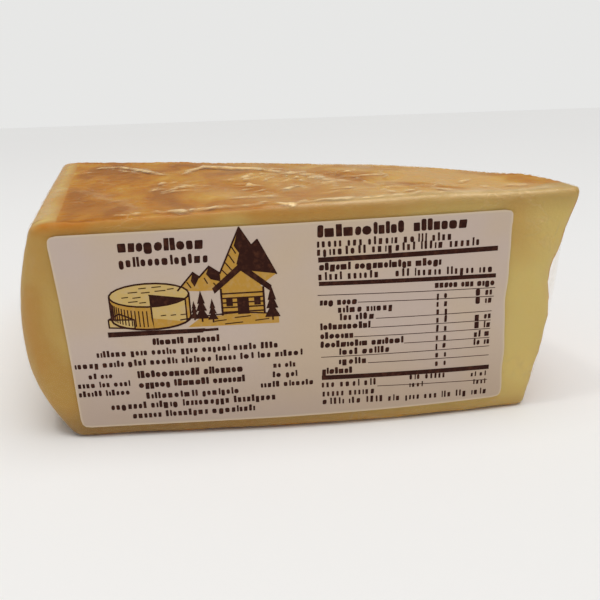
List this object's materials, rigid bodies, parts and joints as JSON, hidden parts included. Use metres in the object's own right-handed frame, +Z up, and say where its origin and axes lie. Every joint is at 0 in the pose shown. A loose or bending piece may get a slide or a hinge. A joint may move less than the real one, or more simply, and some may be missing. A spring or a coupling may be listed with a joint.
{
  "type": "raclette cheese wedge",
  "caption": "Thick wedge cut from a wheel of semi-soft raclette cheese, with rind above, below and round the rim, in tight clear film with a printed paper label.",
  "frame": {"origin": "centre of the bounding box's base, on the surface that the wedge stands on", "axes": "+Z up, +X along the front cut face from the apex to the rim, the labelled front cut face towards -Y"},
  "size_m": [0.2014, 0.167, 0.0728],
  "materials": {
    "cheese": "semi-soft paste with an orange-tan rind, soft sheen under film",
    "label_paper": "matt off-white printed paper",
    "clear_film": "clear cling film, glossy and wrinkled",
    "label_ink": "matt dark brown print"
  },
  "bodies": {
    "root": {"wrapped_cheese": "cheese", "label": "label_paper"}
  },
  "joints": []
}
